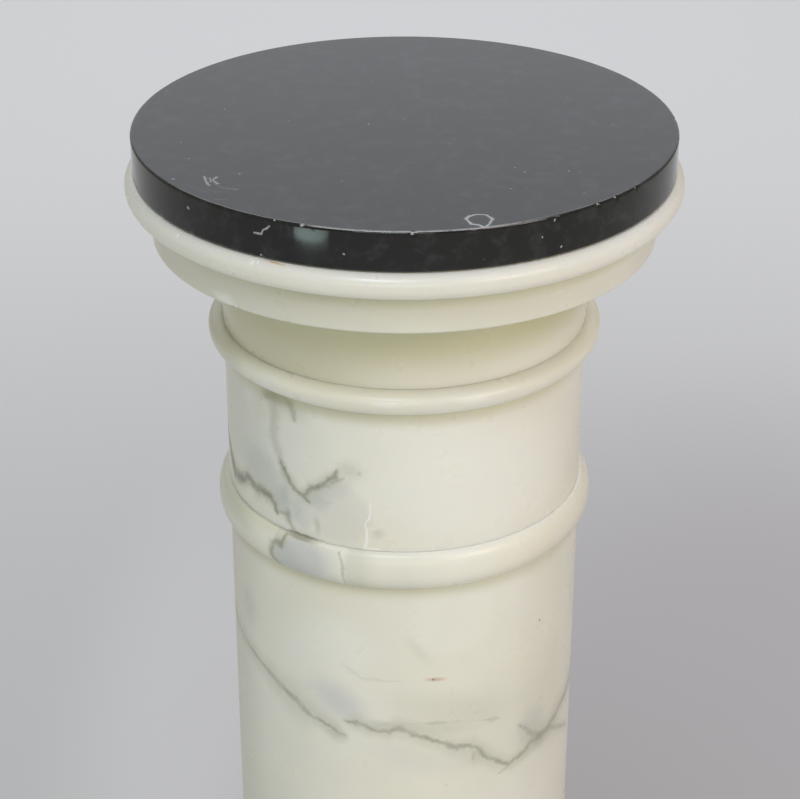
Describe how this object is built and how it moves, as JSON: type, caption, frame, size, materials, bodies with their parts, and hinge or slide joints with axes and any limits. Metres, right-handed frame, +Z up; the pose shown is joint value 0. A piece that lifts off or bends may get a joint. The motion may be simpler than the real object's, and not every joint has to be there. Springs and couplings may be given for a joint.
{
  "type": "doric column",
  "caption": "Free-standing turned marble pedestal column with a moulded capital, ring bands, a base and a round black slab on top to stand things on.",
  "frame": {"origin": "centre of the plinth slab's underside, on the floor", "axes": "+Z up along the axis of the column; the picture looks along +Y, with +X to its right"},
  "size_m": [0.29, 0.29, 1.04],
  "materials": {
    "white_marble": "polished cream-white marble with grey veins",
    "black_marble": "polished black marble with fine pale specks"
  },
  "bodies": {
    "root": {"plinth_slab": "black_marble", "base_block": "white_marble", "lower_ring": "white_marble", "shaft": "white_marble", "band_ring": "white_marble", "upper_drum": "white_marble", "upper_ring": "white_marble", "capital": "white_marble", "top_slab": "black_marble"}
  },
  "joints": []
}
